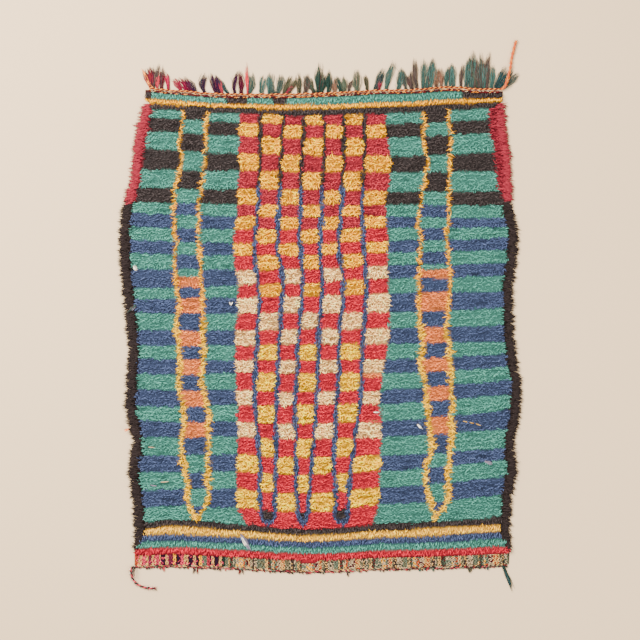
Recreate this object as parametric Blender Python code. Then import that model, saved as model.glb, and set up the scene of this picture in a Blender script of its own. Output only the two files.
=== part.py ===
"""A boucherouite rug, lying flat.

One knotted wool cloth with a flat-woven end, shag locks along both sides, a twined
cord and a fringe at its upper end, and a twined edging with a few tufts at its foot.
The origin is on the floor under the middle of the rug, +Y runs towards the long
fringe and +Z points up. The tables are in millimetres, the model is in metres.
"""
import math
import random

import bmesh
import bpy
import numpy as np
from mathutils import Vector, noise

MM = 0.001
GAP = 0.4 * MM

# Overall size, out to the tips of the locks
HALF_WIDTH = 607 * MM
HALF_LENGTH = 813 * MM

# Heights above the floor
PILE_CREST = 14 * MM
PILE_GROOVE = 10.8 * MM
NARROW_ROW = 10.4 * MM
KILIM = 3.2 * MM
RIM = 7.0 * MM
COLUMN_GROOVE = 1.6 * MM
LUMP = 2.2 * MM
LUMP_PITCH = 85 * MM

# The cloth's outline, out to the tips of the side locks
SIDES = (
    # y, left edge, right edge
    (-741, -558, 568),
    (-648, -558, 574),
    (-543, -567, 580),
    (-453, -579, 594),
    (-363, -567, 588),
    (-273, -588, 606),
    (-183, -585, 606),
    (-93, -579, 591),
    (-3, -587, 586),
    (87, -596, 582),
    (177, -603, 594),
    (252, -607, 598),
    (342, -595, 582),
    (417, -576, 580),
    (492, -567, 576),
    (567, -555, 564),
    (642, -537, 561),
)
SIDE_Y, SIDE_LEFT, SIDE_RIGHT = np.array(SIDES, float).T * MM

# The pattern's bands from the top down, with their heights at three places across
BANDS = (
    # left side, middle, right side
    (23, 27, 34),
    (43, 41, 41),
    (55, 54, 58),
    (56, 48, 56),
    (59, 57, 60),
    (39, 42, 40),
    (38, 39, 39),
    (36, 37, 29),
    (45, 41, 34),
    (39, 36, 35),
    (47, 37, 40),
    (52, 46, 38),
    (33, 35, 47),
    (47, 56, 50),
    (51, 48, 50),
    (45, 44, 49),
    (42, 47, 41),
    (44, 47, 40),
    (49, 48, 42),
    (49, 45, 43),
    (43, 51, 47),
    (49, 45, 55),
    (52, 56, 57),
    (54, 52, 40),
    (52, 51, 51),
    (47, 51, 55),
    (49, 51, 65),
)
BAND_COUNT = len(BANDS)
BAND_TOP = np.array((628, 611, 631), float) * MM
BAND_X = np.array((-489, -24, 474), float) * MM
BORDERS = BAND_TOP - np.vstack(((0, 0, 0), np.cumsum(BANDS, axis=0))) * MM

# The cloth's lower end
FOOT = -738 * MM
FOOT_SAG = 12 * MM

# The narrow rows, as shares of the way from the last band to the cloth's end
TOP_ROWS = (0.24, 0.60)
FOOT_ROWS = (0.13, 0.29, 0.43, 0.57, 0.715)
KILIM_STEP = 0.02

# Lines of the pattern that run up the cloth, with their places at three heights
LINES = (
    # x at the foot, x in the middle, x at the top
    (-402, -421, -409),
    (-338, -359, -341),
    (-248, -247, -241),
    (-181, -183, -180),
    (-135, -118, -110),
    (-69, -61, -50),
    (-33, 0, 12),
    (48, 64, 72),
    (86, 132, 134),
    (174, 205, 198),
    (318, 301, 311),
    (388, 385, 389),
)
LINE_Y = np.array((-543, 0, 612), float) * MM
COLUMN_STEPS = (5, 2, 4, 2, 2, 2, 2, 2, 2, 2, 4, 2, 5)

# Side locks
SIDE_REACH = 24 * MM
TOP_REACH = 12 * MM
FOOT_REACH = 1 * MM
SIDE_STRIP = 6 * MM
SIDE_FOOT = -655 * MM
SIDE_TOP = 652 * MM
SIDE_TOP_ROW = -0.24
SIDE_HEIGHT = 8 * MM
SIDE_JITTER = 6 * MM
SIDE_TIP_HALF = (2.0 * MM, 3.4 * MM)
SIDE_TIP_HEIGHT = (2.5 * MM, 4.5 * MM)

# The twined cord across the upper end, by its middle line
CORD = (
    # x, y
    (-512, 694),
    (-465, 688),
    (-405, 684),
    (-345, 678),
    (-240, 675),
    (-90, 675),
    (0, 678),
    (75, 681),
    (180, 687),
    (270, 688),
    (405, 696),
    (480, 690),
    (540, 690),
)
CORD_X, CORD_Y = np.array(CORD, float).T * MM
CORD_RADIUS = 4.5 * MM
CORD_LOBE = 0.18
CORD_PITCH = 48 * MM
CORD_STEP = 8 * MM
CORD_SIDES = 6
CORD_CLEAR = CORD_RADIUS * (1 + CORD_LOBE) + GAP
FRINGE_CLOSER = 0.25 * MM

# The fringe, in groups of like locks
FRINGE = (
    # first root, last root, locks, first lean, last lean, first length, last length, width
    (-508, -475, 6, -25, 8, 70, 62, 11),
    (-450, -372, 5, -15, -42, 48, 50, 14),
    (-346, -282, 4, -6, -34, 54, 45, 16),
    (-258, -212, 4, -3, 6, 56, 60, 14),
    (-178, -132, 3, 8, 12, 56, 58, 20),
    (-111, -95, 2, 30, 38, 58, 46, 13),
    (-63, -45, 2, 2, 6, 54, 57, 15),
    (-20, -3, 2, -20, 2, 58, 82, 22),
    (27, 42, 2, -2, 2, 75, 52, 15),
    (60, 72, 2, -18, -3, 48, 48, 12),
    (86, 111, 2, 14, 0, 42, 72, 17),
    (141, 141, 1, -10, -10, 52, 52, 14),
    (171, 255, 4, 23, -2, 68, 64, 22),
    (273, 330, 4, -2, 5, 76, 97, 18),
    (348, 396, 4, 8, 1, 74, 70, 15),
    (420, 470, 4, 8, 3, 62, 104, 18),
    (474, 508, 3, 4, -4, 117, 74, 18),
    (518, 531, 2, 34, 60, 74, 68, 12),
)
FRINGE_STRIP = 4 * MM
FRINGE_ROOT = 4.6 * MM
FRINGE_HEIGHT = 3 * MM
LOCK_MIDDLE = 0.55
LOCK_MIDDLE_HEIGHT = 3.6 * MM
LOCK_TIP_HEIGHT = 1.6 * MM
LOCK_TIP = 3 * MM
LOCK_CLEAR = 0.5 * MM
COMB_TURNS = 30
COMB_SPREAD = math.radians(0.5)

# The edging at the foot and its tufts
EDGING_STRIP = 6 * MM
EDGING_HEIGHT = 3.6 * MM
EDGING_FROM = -556 * MM
EDGING_TO = 564 * MM
TUFTS = (
    # root, lean, length, width
    (-520, 5, 9, 5),
    (-471, -10, 16, 7),
    (-420, 10, 9, 5),
    (-372, 12, 21, 8),
    (-262, -8, 10, 5),
    (-150, 6, 9, 5),
    (-40, -5, 10, 5),
    (87, 8, 19, 7),
    (190, -6, 10, 5),
    (300, 5, 9, 5),
    (450, -12, 17, 7),
    (550, -23, 82, 13),
)

# The loose cord ends, by the points that their middle lines pass
TAIL_TOP = (
    # x, y, height
    (542.3, 690, 5.0),
    (547, 690.4, 5.4),
    (552, 694.5, 8.4),
    (558, 705, 9.3),
    (564, 725, 9.2),
    (570, 748, 7.6),
    (576, 785, 4.4),
    (589, 836, 4.4),
)
TAIL_TOP_RADIUS = 4.2 * MM
TAIL_BOTTOM = (
    # x, y, height
    (-558.8, -744.0, 3.6),
    (-564.5, -747.5, 3.6),
    (-567.5, -755, 3.6),
    (-567, -766, 3.6),
    (-563, -779, 3.6),
    (-555, -791, 3.6),
    (-541, -801, 3.6),
    (-519, -807.5, 3.6),
    (-495, -809.5, 3.6),
)
TAIL_BOTTOM_RADIUS = 3.4 * MM
TAIL_POINTS = 14


def smooth(keys, values, at):
    """Read a smooth curve through hand-set points, which is level past its ends."""
    at = np.clip(at, keys[0], keys[-1])
    slopes = np.gradient(values, keys)
    low = np.clip(np.searchsorted(keys, at, side="right") - 1, 0, len(keys) - 2)
    span = keys[low + 1] - keys[low]
    t = (at - keys[low]) / span
    return (
        (2 * t ** 3 - 3 * t ** 2 + 1) * values[low]
        + (t ** 3 - 2 * t ** 2 + t) * span * slopes[low]
        + (3 * t ** 2 - 2 * t ** 3) * values[low + 1]
        + (t ** 3 - t ** 2) * span * slopes[low + 1]
    )


def cord_y(x):
    """Height of the twined cord's middle line on the sheet."""
    return smooth(CORD_X, CORD_Y, x)


def top_edge(x):
    """The cloth's upper end, just below the twined cord."""
    return cord_y(x) - CORD_CLEAR


def foot_edge(x):
    """The cloth's lower end, which sinks in the middle of the rug."""
    return FOOT - FOOT_SAG * (1 - (x / HALF_WIDTH) ** 2)


def band_border(number, x):
    """Upper border of a band, counted from the top: a parabola through three places."""
    a, b, c = BAND_X
    left, middle, right = BORDERS[number]
    return (
        left * (x - b) * (x - c) / ((a - b) * (a - c))
        + middle * (x - a) * (x - c) / ((b - a) * (b - c))
        + right * (x - a) * (x - b) / ((c - a) * (c - b))
    )


def row_y(row, x):
    """Row -1 is the upper end, 0 the first band's border, BAND_COUNT + 1 the foot."""
    if row < 0:
        above, below = top_edge(x), band_border(0, x)
        return above + (below - above) * (row + 1)
    if row >= BAND_COUNT:
        above, below = band_border(BAND_COUNT, x), foot_edge(x)
        return above + (below - above) * (row - BAND_COUNT)
    number = int(row)
    above, below = band_border(number, x), band_border(number + 1, x)
    return above + (below - above) * (row - number)


def side_reach(y):
    """How far the outline stands out past the knotted cloth."""
    if y > SIDE_TOP:
        return TOP_REACH
    return SIDE_REACH if y > SIDE_FOOT - 10 * MM else FOOT_REACH


def body_left(y):
    return float(smooth(SIDE_Y, SIDE_LEFT, y)) + side_reach(y)


def body_right(y):
    return float(smooth(SIDE_Y, SIDE_RIGHT, y)) - side_reach(y)


def column_x(column, y):
    """Place of a column at a height, between the lines that run up the cloth."""
    lines = [body_left(y)]
    lines += [float(smooth(LINE_Y, np.array(line, float) * MM, y)) for line in LINES]
    lines.append(body_right(y))
    number = min(int(column), len(lines) - 2)
    share = column - number
    return lines[number] + (lines[number + 1] - lines[number]) * share


def grid_point(column, row):
    """Place where a column meets a row."""
    x = column_x(column, 0.0)
    for _ in range(4):
        y = float(row_y(row, x))
        x = column_x(column, y)
    return x, y


def row_list():
    """Rows of the cloth's grid from the top down, two to a band."""
    rows = [-1.0]
    rows += [-share for share in reversed(TOP_ROWS)]
    rows += [half / 2 for half in range(2 * BAND_COUNT + 1)]
    rows += [BAND_COUNT + share for share in FOOT_ROWS]
    kilim = BAND_COUNT + FOOT_ROWS[-1]
    rows += [kilim + KILIM_STEP, (kilim + BAND_COUNT + 1) / 2, BAND_COUNT + 1.0]
    return rows


def column_list():
    """Columns of the cloth's grid from left to right."""
    columns = []
    for number, steps in enumerate(COLUMN_STEPS):
        columns += [number + step / steps for step in range(steps)]
    return columns + [float(len(COLUMN_STEPS))]


def surface_height(column, row, x, y):
    """Height of the pile, with its ridges, grooves and lumps."""
    if row > BAND_COUNT + FOOT_ROWS[-1]:
        return KILIM
    if row < 0 or row > BAND_COUNT:
        height = NARROW_ROW
    elif row == int(row):
        height = PILE_GROOVE
    else:
        height = PILE_CREST
    if column == int(column):
        height -= COLUMN_GROOVE
    lump = noise.noise(Vector((x / LUMP_PITCH, y / LUMP_PITCH, 0.5)))
    return height + LUMP * lump


def add_object(name, mesh_or_curve, collection, colour, roughness):
    """Put a piece in the rug's collection with its own plain material."""
    piece = bpy.data.objects.new(name, mesh_or_curve)
    collection.objects.link(piece)
    material = bpy.data.materials.new(name + "_wool")
    material.use_nodes = True
    shader = material.node_tree.nodes["Principled BSDF"]
    shader.inputs["Base Color"].default_value = (*colour, 1)
    shader.inputs["Roughness"].default_value = roughness
    mesh_or_curve.materials.append(material)
    return piece


def mesh_from(name, bm):
    """Close the working mesh and return it as a mesh with its faces out."""
    bmesh.ops.recalc_face_normals(bm, faces=bm.faces)
    mesh = bpy.data.meshes.new(name)
    bm.to_mesh(mesh)
    bm.free()
    return mesh


def make_body(collection):
    """The cloth: a grid raised to the pile, with straight sides and a flat underside."""
    rows = row_list()
    columns = column_list()
    bm = bmesh.new()
    across, along = len(columns) - 1, len(rows) - 1
    bmesh.ops.create_grid(bm, x_segments=across, y_segments=along, size=0.5)
    for vert in bm.verts:
        column = columns[round((vert.co.x + 0.5) * across)]
        row = rows[round((0.5 - vert.co.y) * along)]
        x, y = grid_point(column, row)
        height = surface_height(column, row, x, y)
        if vert.is_boundary:
            height = min(height, RIM)
        vert.co = (x, y, height)
    rim = [edge for edge in bm.edges if edge.is_boundary]
    wall = bmesh.ops.extrude_edge_only(bm, edges=rim)["geom"]
    foot = [item for item in wall if isinstance(item, bmesh.types.BMVert)]
    for vert in foot:
        vert.co.z = 0
    loop = [edge for edge in bm.edges if edge.is_boundary]
    bmesh.ops.edgeloop_fill(bm, edges=loop)
    mesh = mesh_from("rug_body", bm)
    mesh.shade_smooth()
    add_object("rug_body", mesh, collection, (0.09, 0.31, 0.24), 0.95)


def strip_mesh(name, stations, height, locks):
    """A narrow strip with locks growing out of its outer side.

    A station is an inner and an outer point. A lock, given by the number of its
    stretch of the strip, is a list of sections: two points and a height.
    """
    bm = bmesh.new()
    rings = []
    for inner, outer in stations:
        corners = ((inner, 0), (outer, 0), (outer, height), (inner, height))
        rings.append([bm.verts.new((*point, z)) for point, z in corners])
    for number, (ring, after) in enumerate(zip(rings, rings[1:])):
        for side in range(4):
            if side == 1 and number in locks:
                continue
            other = (side + 1) % 4
            bm.faces.new((ring[side], ring[other], after[other], after[side]))
        section = [ring[1], after[1], after[2], ring[2]]
        for left, right, top in locks.get(number, ()):
            corners = ((left, 0), (right, 0), (right, top), (left, top))
            further = [bm.verts.new((*point, z)) for point, z in corners]
            for side in range(4):
                other = (side + 1) % 4
                bm.faces.new((section[side], section[other], further[other], further[side]))
            section = further
        if number in locks:
            bm.faces.new(section)
    bm.faces.new(rings[0])
    bm.faces.new(rings[-1])
    return mesh_from(name, bm)


def make_side(collection, name, side, colour):
    """Side locks, one to each row of the cloth: side is -1 on the left, 1 on the right."""
    rng = random.Random(name)
    column = 0 if side < 0 else len(COLUMN_STEPS)
    outline = SIDE_LEFT if side < 0 else SIDE_RIGHT
    edge = [grid_point(column, row) for row in row_list() if row >= SIDE_TOP_ROW]
    edge = [(x, y) for x, y in edge if y > SIDE_FOOT]
    stations = []
    for x, y in edge:
        inner = x + side * GAP
        stations.append(((inner, y), (inner + side * SIDE_STRIP, y)))
    locks = {}
    for number, ((_, above), (_, below)) in enumerate(zip(edge, edge[1:])):
        y = below + rng.uniform(0.3, 0.7) * (above - below)
        x = float(smooth(SIDE_Y, outline, y)) + rng.uniform(-1, 1) * SIDE_JITTER
        x = min(max(x, -HALF_WIDTH), HALF_WIDTH)
        half = rng.uniform(*SIDE_TIP_HALF)
        height = rng.uniform(*SIDE_TIP_HEIGHT)
        locks[number] = [((x, y + half), (x, y - half), height)]
    mesh = strip_mesh(name, stations, SIDE_HEIGHT, locks)
    add_object(name, mesh, collection, colour, 0.95)


def lock_point(lock, share):
    """Point on a lock's middle line."""
    root, lean, length, _ = lock
    reach = share * length
    return Vector((root[0] + reach * math.sin(lean), root[1] + reach * math.cos(lean)))


def lock_half(lock, share):
    """Half a lock's width: narrow at its root and tip, wide at its middle."""
    _, _, _, width = lock
    if share < LOCK_MIDDLE:
        return (FRINGE_ROOT + (width - FRINGE_ROOT) * share / LOCK_MIDDLE) / 2
    rest = (share - LOCK_MIDDLE) / (1 - LOCK_MIDDLE)
    return (width + (LOCK_TIP - width) * rest) / 2


def locks_clash(first, second):
    """Whether two locks come closer than their clearance."""
    shares = [step / 8 for step in range(9)]
    for a in shares:
        for b in shares:
            apart = (lock_point(first, a) - lock_point(second, b)).length
            if apart < lock_half(first, a) + lock_half(second, b) + LOCK_CLEAR:
                return True
    return False


def comb(locks):
    """Turn neighbours that cross until they lie side by side, then thin what still meets."""
    locks = [list(lock) for lock in locks]
    for turn in range(2 * COMB_TURNS):
        clear = True
        for number, lock in enumerate(locks):
            for other in locks[number + 1:number + 4]:
                if not locks_clash(lock, other):
                    continue
                clear = False
                mean = (lock[1] + other[1]) / 2
                lock[1] += 0.1 * (mean - lock[1]) - COMB_SPREAD
                other[1] += 0.1 * (mean - other[1]) + COMB_SPREAD
                if turn > COMB_TURNS:
                    lock[3] = max(lock[3] * 0.97, LOCK_TIP)
                    other[3] = max(other[3] * 0.97, LOCK_TIP)
        if clear:
            break
    return locks


def lock_sections(lock):
    """A lock's middle and tip sections, for the strip that it grows from."""
    _, lean, _, _ = lock
    across = Vector((math.cos(lean), -math.sin(lean)))
    sections = []
    for share, height in ((LOCK_MIDDLE, LOCK_MIDDLE_HEIGHT), (1, LOCK_TIP_HEIGHT)):
        point = lock_point(lock, share)
        half = lock_half(lock, share) * across
        ends = []
        for end in sorted((point - half, point + half), key=lambda place: place.x):
            ends.append((end.x, min(max(end.y, -HALF_LENGTH), HALF_LENGTH)))
        sections.append((ends[0], ends[1], height))
    return sections


def strip_along(name, start, end, inner_y, depth, height, locks):
    """A strip across the rug, from inner_y out by depth, with locks at their roots."""
    stations = [start]
    sections = {}
    for lock in locks:
        root = lock[0][0]
        sections[len(stations)] = lock_sections(lock)
        stations += [root - FRINGE_ROOT / 2, root + FRINGE_ROOT / 2]
    stations.append(end)
    points = []
    for x in stations:
        inner = float(inner_y(x))
        points.append(((x, inner), (x, inner + depth)))
    return strip_mesh(name, points, height, sections)


def make_fringe(collection):
    """Warp-end locks on a strip beside the twined cord."""
    def inner(x):
        return cord_y(x) + CORD_CLEAR - FRINGE_CLOSER

    locks = []
    for first, last, count, lean_a, lean_b, long_a, long_b, width in FRINGE:
        for number in range(count):
            share = number / max(count - 1, 1)
            x = (first + (last - first) * share) * MM
            root = (x, float(inner(x)) + FRINGE_STRIP)
            lean = math.radians(lean_a + (lean_b - lean_a) * share)
            length = (long_a + (long_b - long_a) * share) * MM
            locks.append((root, lean, length, width * MM))
    ends = (FRINGE[0][0] - 5) * MM, (FRINGE[-1][1] + 5) * MM
    mesh = strip_along(
        "top_fringe", *ends, inner, FRINGE_STRIP, FRINGE_HEIGHT, comb(locks)
    )
    add_object("top_fringe", mesh, collection, (0.06, 0.22, 0.20), 0.9)


def make_edging(collection):
    """The twined edging of the flat-woven end, with its tufts."""
    def inner(x):
        return foot_edge(x) - GAP

    locks = []
    for x, lean, length, width in TUFTS:
        root = (x * MM, float(inner(x * MM)) - EDGING_STRIP)
        turned = math.radians(180 + lean)
        locks.append((root, turned, length * MM, width * MM))
    stations = EDGING_FROM, EDGING_TO
    mesh = strip_along(
        "bottom_edging", *stations, inner, -EDGING_STRIP, EDGING_HEIGHT, locks
    )
    add_object("bottom_edging", mesh, collection, (0.16, 0.06, 0.06), 0.9)


def make_cord(collection):
    """The twined cord: a tube of a two-lobed section that turns along it."""
    steps = round((CORD_X[-1] - CORD_X[0]) / CORD_STEP)
    bm = bmesh.new()
    rings = []
    for step in range(steps + 1):
        x = CORD_X[0] + (CORD_X[-1] - CORD_X[0]) * step / steps
        turn = 2 * math.pi * (x - CORD_X[0]) / CORD_PITCH
        ring = []
        for side in range(CORD_SIDES):
            angle = math.radians(90) + 2 * math.pi * side / CORD_SIDES
            radius = CORD_RADIUS * (1 + CORD_LOBE * math.cos(2 * (angle - turn)))
            y = float(cord_y(x)) + radius * math.cos(angle)
            z = max(CORD_RADIUS + radius * math.sin(angle), 0)
            ring.append(bm.verts.new((x, y, z)))
        rings.append(ring)
    for ring, after in zip(rings, rings[1:]):
        for side in range(CORD_SIDES):
            other = (side + 1) % CORD_SIDES
            bm.faces.new((ring[side], ring[other], after[other], after[side]))
    bm.faces.new(rings[0])
    bm.faces.new(rings[-1])
    mesh = mesh_from("top_cord", bm)
    add_object("top_cord", mesh, collection, (0.75, 0.28, 0.10), 0.85)


def make_tail(collection, name, route, radius, colour):
    """A loose cord end: a tube along a smooth curve through its route."""
    points = np.array(route, float) * MM
    lengths = np.linalg.norm(np.diff(points, axis=0), axis=1)
    travelled = np.concatenate(([0], np.cumsum(lengths)))
    curve = bpy.data.curves.new(name, "CURVE")
    curve.dimensions = "3D"
    curve.bevel_depth = radius
    curve.bevel_resolution = 2
    curve.use_fill_caps = True
    spline = curve.splines.new("POLY")
    spline.points.add(TAIL_POINTS - 1)
    for number, point in enumerate(spline.points):
        at = travelled[-1] * number / (TAIL_POINTS - 1)
        place = [float(smooth(travelled, points[:, axis], at)) for axis in range(3)]
        point.co = (*place, 1)
    add_object(name, curve, collection, colour, 0.85)


def main():
    for old in list(bpy.data.objects):
        bpy.data.objects.remove(old)
    collection = bpy.data.collections.new("boucherouite_rug")
    bpy.context.scene.collection.children.link(collection)
    make_body(collection)
    make_side(collection, "left_edge", -1, (0.035, 0.025, 0.022))
    make_side(collection, "right_edge", 1, (0.035, 0.025, 0.022))
    make_cord(collection)
    make_fringe(collection)
    make_edging(collection)
    make_tail(collection, "tail_top", TAIL_TOP, TAIL_TOP_RADIUS, (0.80, 0.33, 0.12))
    make_tail(
        collection, "tail_bottom", TAIL_BOTTOM, TAIL_BOTTOM_RADIUS, (0.22, 0.12, 0.11)
    )


main()
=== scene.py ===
"""The looks of a boucherouite rug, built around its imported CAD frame.

The pile is real geometry: thousands of tapered strands of wool, laid in knot rows.
The pattern comes from short tables of rows, bands and lines. The tables are in
millimetres and the scene is in metres, with +Y towards the long fringe.
"""

import math

import bpy
import numpy as np
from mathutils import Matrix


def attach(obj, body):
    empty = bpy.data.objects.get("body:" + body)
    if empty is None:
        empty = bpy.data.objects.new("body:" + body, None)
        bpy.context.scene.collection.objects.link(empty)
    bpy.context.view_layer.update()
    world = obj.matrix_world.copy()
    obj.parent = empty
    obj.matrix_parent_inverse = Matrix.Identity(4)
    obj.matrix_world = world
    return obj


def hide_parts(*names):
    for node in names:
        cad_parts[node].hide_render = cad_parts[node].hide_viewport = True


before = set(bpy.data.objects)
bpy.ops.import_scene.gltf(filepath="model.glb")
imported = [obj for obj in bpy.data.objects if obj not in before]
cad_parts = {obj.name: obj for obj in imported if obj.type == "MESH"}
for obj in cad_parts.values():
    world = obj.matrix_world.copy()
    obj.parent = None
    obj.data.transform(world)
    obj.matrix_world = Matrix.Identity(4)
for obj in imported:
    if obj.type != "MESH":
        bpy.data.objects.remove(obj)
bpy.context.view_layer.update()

MM = 0.001

# The cloth's outline, out to the tips of the side locks
SIDES = (
    # y, left edge, right edge
    (-741, -558, 568),
    (-648, -558, 574),
    (-543, -567, 580),
    (-453, -579, 594),
    (-363, -567, 588),
    (-273, -588, 606),
    (-183, -585, 606),
    (-93, -579, 591),
    (-3, -587, 586),
    (87, -596, 582),
    (177, -603, 594),
    (252, -607, 598),
    (342, -595, 582),
    (417, -576, 580),
    (492, -567, 576),
    (567, -555, 564),
    (642, -537, 561),
)
SIDE_Y, SIDE_LEFT, SIDE_RIGHT = np.array(SIDES, float).T * MM
SIDE_REACH = 24 * MM
TOP_REACH = 12 * MM
FOOT_REACH = 1 * MM
SIDE_FOOT = -692 * MM
REACH_FADE = 45 * MM
SIDE_TOP = 652 * MM

# The pattern's bands from the top down
BANDS = (
    # height at the left, middle and right, drop of its top in the panel, field,
    # ladder cell, odd columns, even columns
    (24, 27, 34, 0, "green", "black", "crimson", "yellow"),
    (42, 41, 41, 2, "black", "green", "yellow", "crimson"),
    (51, 54, 58, 0, "green", "black", "crimson", "yellow"),
    (64, 48, 56, -2, "black", "green", "yellow", "crimson"),
    (54, 57, 60, 0, "green", "black", "crimson", "yellow"),
    (43, 42, 40, -3, "black", "green", "yellow", "crimson"),
    (35, 39, 39, 1, "green", "blue", "crimson", "yellow"),
    (40, 37, 29, -2, "blue", "green", "yellow", "crimson"),
    (40, 41, 34, -2, "green", "blue", "red", "yellow"),
    (40, 36, 35, 0, "blue", "green", "yellow", "red"),
    (45, 37, 40, -2, "green", "blue", "red", "yellow"),
    (57, 46, 38, 3, "blue", "orange", "cream", "red"),
    (33, 35, 47, -3, "green", "blue", "red", "yellow"),
    (41, 56, 50, 3, "blue", "orange", "cream", "red"),
    (54, 48, 50, -3, "green", "blue", "red", "cream"),
    (46, 44, 49, -1, "blue", "orange", "cream", "red"),
    (39, 47, 41, 0, "green", "blue", "red", "yellow"),
    (47, 47, 40, 0, "blue", "orange", "cream", "red"),
    (46, 48, 42, -4, "green", "blue", "red", "yellow"),
    (50, 45, 43, 4, "blue", "orange", "cream", "red"),
    (43, 51, 47, -2, "green", "blue", "red", "yellow"),
    (48, 45, 55, 3, "blue", "orange", "cream", "red"),
    (56, 56, 57, 3, "green", "blue", "red", "yellow"),
    (53, 52, 40, -1, "blue", "green", "yellow", "red"),
    (54, 51, 51, -3, "green", "blue", "red", "yellow"),
    (52, 51, 55, -1, "blue", "green", "yellow", "red"),
    (43, 51, 65, -4, "green", "blue", "red", "red"),
)
BAND_COUNT = len(BANDS)
BAND_HEIGHTS = np.array([band[:3] for band in BANDS], float)
PANEL_DROP = np.array([band[3] for band in BANDS] + [-2]) * MM
DROP_X = np.array((-285, -235, 185, 225)) * MM
BAND_TOP = np.array((628, 611, 631), float) * MM
BAND_X = np.array((-489, -24, 474), float) * MM
BORDERS = BAND_TOP - np.vstack(((0, 0, 0), np.cumsum(BAND_HEIGHTS, axis=0))) * MM

# How far the lower rows rise, which fades out over the bands above them
RISE = (
    # x, rise
    (-600, 0),
    (-534, 0),
    (-462, 10),
    (-384, 11),
    (-336, 9),
    (-213, 1),
    (-117, -9),
    (-24, -13),
    (81, -7),
    (147, 0),
    (290, 3),
    (420, 4),
    (540, 6),
)
RISE_X, RISE_Y = np.array(RISE, float).T * MM
RISE_FROM, RISE_OVER = 22, 4
# Stretches of rows that lie a little higher
LIFTS = (
    # rows between which each grows and fades, then x and lift
    ((17, 18, 25, 26), ((-430, 0), (-340, 5), (-290, 8), (-220, 8), (-150, 5), (60, 4), (180, 0))),
    ((5, 7, 12, 14), ((0, 0), (120, 4), (260, 5), (360, 3), (450, 0))),
)
FOOT_RISE = 0.45

# The cloth's lower end
FOOT = -738 * MM
FOOT_SAG = 12 * MM

# Narrow rows above the bands: where each ends, as a share of the way down to them
TOP_ROWS = (
    # share, colour, knot rows
    (0.12, "red_brown", 0),
    (0.47, "green", 1),
    (0.68, "yellow", 1),
    (1.0, "black", 1),
)
# Blocks of dark wool in the green row at the upper end
DARK_BLOCKS = (
    # from x, to x
    (-530, -505),
    (-282, -216),
    (-144, -102),
    (426, 560),
)
# Narrow rows below the bands: where each ends, as a share of the way to the foot
FOOT_ROWS = (
    # share, colour, knot rows
    (0.15, "black", 1),
    (0.305, "pale_yellow", 1),
    (0.455, "blue", 1),
    (0.605, "green", 1),
    (0.77, "red", 1),
)
KILIM_FROM = FOOT_ROWS[-1][0]

# The lines between the checked panel's columns
PANEL = (
    # y, left side, line 1, line 2, line 3, line 4, line 5, line 6, right side
    (-625, -214, -158, -152, -54, -48, 64, 70, 152),
    (-612, -219, -163, -147, -57, -45, 60, 75, 156),
    (-602, -227, -172, -139, -61, -41, 50, 82, 161),
    (-586, -238, -177, -135, -66, -37, 45, 85, 168),
    (-570, -246, -178, -135, -68, -34, 46, 86, 172),
    (-543, -249, -181, -135, -69, -33, 48, 85, 174),
    (-438, -248, -180, -133, -72, -25, 41, 95, 180),
    (-340, -246, -188, -131, -73, -17, 46, 107, 184),
    (-243, -249, -196, -131, -74, -12, 51, 120, 181),
    (-150, -251, -194, -126, -67, -6, 57, 125, 189),
    (-100, -255, -190, -124, -67, -5, 57, 127, 200),
    (-20, -253, -186, -120, -61, -2, 60, 132, 208),
    (57, -243, -182, -114, -56, 5, 68, 138, 206),
    (130, -247, -189, -113, -52, 6, 69, 138, 202),
    (207, -260, -196, -127, -58, -1, 56, 131, 204),
    (290, -254, -190, -126, -60, 4, 60, 128, 200),
    (357, -246, -186, -121, -57, 6, 66, 127, 193),
    (400, -247, -184, -120, -58, 6, 67, 127, 207),
    (466, -243, -181, -119, -56, 12, 71, 132, 211),
    (530, -241, -180, -113, -52, 15, 72, 134, 203),
    (597, -240, -178, -110, -47, 10, 73, 134, 198),
)
PANEL_TABLE = np.array(PANEL, float).T * MM
PANEL_Y, PANEL_X = PANEL_TABLE[0], PANEL_TABLE[1:]
LINE_HALF = 6.6 * MM
LINE_BLUE_FROM = 402 * MM

# The rails of the two ladders
RAILS = (
    # y, left ladder's rails, right ladder's rails
    (-600, -370, -366, 344, 348),
    (-578, -383, -353, 338, 362),
    (-552, -397, -338, 333, 378),
    (-498, -397, -336, 318, 385),
    (-438, -408, -336, 318, 386),
    (-384, -414, -336, 337, 393),
    (-333, -411, -336, 330, 395),
    (-282, -408, -336, 323, 395),
    (-243, -417, -342, 320, 397),
    (-192, -423, -355, 316, 391),
    (-138, -419, -351, 303, 393),
    (-78, -424, -351, 309, 386),
    (-18, -432, -351, 302, 380),
    (42, -424, -351, 297, 386),
    (87, -429, -354, 297, 389),
    (162, -436, -359, 297, 390),
    (222, -435, -364, 302, 381),
    (291, -437, -364, 297, 387),
    (357, -439, -361, 305, 387),
    (423, -426, -352, 318, 387),
    (477, -415, -345, 322, 390),
    (531, -421, -344, 312, 393),
    (612, -411, -340, 312, 387),
)
RAIL_TABLE = np.array(RAILS, float).T * MM
RAIL_Y, RAIL_X = RAIL_TABLE[0], RAIL_TABLE[1:]
RAIL_HALF = 5.6 * MM
RAIL_CHANGE = np.array((-60, 140)) * MM
RAIL_FOOT = -600 * MM

# The twined cord across the upper end, by its middle line
CORD = (
    # x, y
    (-512, 694),
    (-465, 688),
    (-405, 684),
    (-345, 678),
    (-240, 675),
    (-90, 675),
    (0, 678),
    (75, 681),
    (180, 687),
    (270, 688),
    (405, 696),
    (480, 690),
    (540, 690),
)
CORD_X, CORD_Y = np.array(CORD, float).T * MM
CORD_CLEAR = 5.7 * MM

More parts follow.
